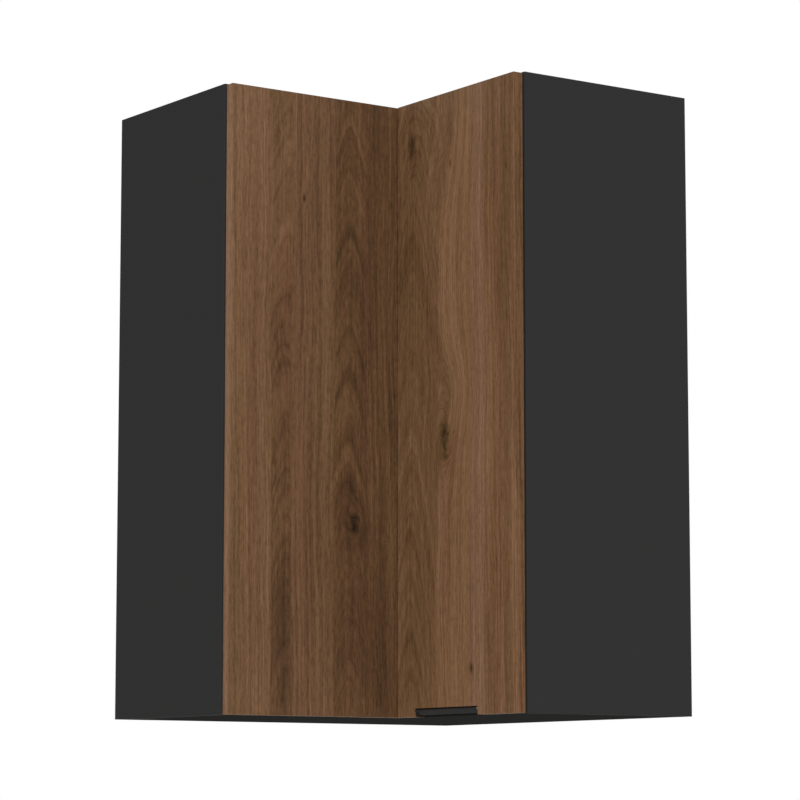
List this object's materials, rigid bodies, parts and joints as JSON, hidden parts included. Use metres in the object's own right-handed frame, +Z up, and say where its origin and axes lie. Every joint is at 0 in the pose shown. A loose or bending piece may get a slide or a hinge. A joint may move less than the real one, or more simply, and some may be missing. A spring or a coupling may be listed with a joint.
{
  "type": "corner wall cabinet",
  "caption": "L-shaped corner wall cabinet with walnut-decor bi-fold door, dark carcass, adjustable shelves and a recessed finger pull.",
  "frame": {"origin": "corner of the room, where the two walls meet, at the height of the cabinet underside", "axes": "+X along the right-hand wall, -Y along the left-hand wall, +Z up"},
  "size_m": [0.6, 0.6, 0.9],
  "materials": {
    "carcass_board": "melamine-faced chipboard, matt near-black",
    "back_board": "lacquered hardboard, near-black",
    "walnut_board": "melamine-faced chipboard, walnut decor, fine pore",
    "black_metal": "powder-coated aluminium, matt black",
    "nickel_steel": "nickel-plated pressed steel",
    "zinc_alloy": "die-cast zinc and zinc-plated steel",
    "clear_rubber": "translucent soft polymer"
  },
  "bodies": {
    "carcass": {"left_end_panel": "carcass_board", "right_end_panel": "carcass_board", "bottom_panel": "carcass_board", "top_panel": "carcass_board", "corner_post_left": "carcass_board", "corner_post_right": "carcass_board", "lower_shelf": "carcass_board", "upper_shelf": "carcass_board", "left_back_board": "back_board", "right_back_board": "back_board", "lower_shelf_pin_1": "nickel_steel", "lower_shelf_pin_2": "nickel_steel", "lower_shelf_pin_3": "nickel_steel", "lower_shelf_pin_4": "nickel_steel", "lower_shelf_pin_5": "nickel_steel", "upper_shelf_pin_1": "nickel_steel", "upper_shelf_pin_2": "nickel_steel", "upper_shelf_pin_3": "nickel_steel", "upper_shelf_pin_4": "nickel_steel", "upper_shelf_pin_5": "nickel_steel", "bottom_cam_lock_1": "zinc_alloy", "bottom_cam_lock_2": "zinc_alloy", "bottom_cam_lock_3": "zinc_alloy", "bottom_cam_lock_4": "zinc_alloy", "top_cam_lock_1": "zinc_alloy", "top_cam_lock_2": "zinc_alloy", "top_cam_lock_3": "zinc_alloy", "top_cam_lock_4": "zinc_alloy", "left_hanger_housing": "zinc_alloy", "left_hanger_hook": "zinc_alloy", "right_hanger_housing": "zinc_alloy", "right_hanger_hook": "zinc_alloy", "lower_hinge_plate": "nickel_steel", "lower_hinge_arm": "nickel_steel", "upper_hinge_plate": "nickel_steel", "upper_hinge_arm": "nickel_steel"},
    "right_leaf": {"right_door": "walnut_board", "finger_pull": "black_metal", "pull_screw_1": "nickel_steel", "pull_screw_2": "nickel_steel", "right_buffer_1": "clear_rubber", "right_buffer_2": "clear_rubber", "lower_hinge_cup": "nickel_steel", "upper_hinge_cup": "nickel_steel", "lower_fold_hinge_right_wing": "nickel_steel", "upper_fold_hinge_right_wing": "nickel_steel", "lower_fold_hinge_pin": "nickel_steel", "upper_fold_hinge_pin": "nickel_steel"},
    "left_leaf": {"left_door": "walnut_board", "left_buffer_1": "clear_rubber", "left_buffer_2": "clear_rubber", "lower_fold_hinge_left_wing": "nickel_steel", "upper_fold_hinge_left_wing": "nickel_steel"},
    "hinge_links_1": {"lower_hinge_link_1": "nickel_steel", "upper_hinge_link_1": "nickel_steel"},
    "hinge_links_2": {"lower_hinge_link_2": "nickel_steel", "upper_hinge_link_2": "nickel_steel"},
    "hinge_links_3": {"lower_hinge_link_3": "nickel_steel", "upper_hinge_link_3": "nickel_steel"}
  },
  "joints": [
    {"name": "door_swing", "type": "hinge", "parent": "carcass", "child": "right_leaf", "pos_m": [0.5935, -0.305, 0], "axis": [0, 0, 1], "range_deg": [0, 150]},
    {"name": "leaf_fold", "type": "hinge", "parent": "right_leaf", "child": "left_leaf", "pos_m": [0.309, -0.292, 0], "axis": [0, 0, 1], "range_deg": [-62, 0]},
    {"name": "hinge_link_1_turn", "type": "hinge", "parent": "carcass", "child": "hinge_links_1", "pos_m": [0.5935, -0.305, 0], "axis": [0, 0, 1], "range_deg": [0, 43]},
    {"name": "hinge_link_2_turn", "type": "hinge", "parent": "carcass", "child": "hinge_links_2", "pos_m": [0.5935, -0.305, 0], "axis": [0, 0, 1], "range_deg": [0, 85]},
    {"name": "hinge_link_3_turn", "type": "hinge", "parent": "carcass", "child": "hinge_links_3", "pos_m": [0.5935, -0.305, 0], "axis": [0, 0, 1], "range_deg": [0, 127]}
  ],
  "couplings": [
    {"joint": "leaf_fold", "follows": "door_swing", "ratio": -0.4},
    {"joint": "hinge_link_1_turn", "follows": "door_swing", "ratio": 0.28},
    {"joint": "hinge_link_2_turn", "follows": "door_swing", "ratio": 0.56},
    {"joint": "hinge_link_3_turn", "follows": "door_swing", "ratio": 0.84}
  ]
}
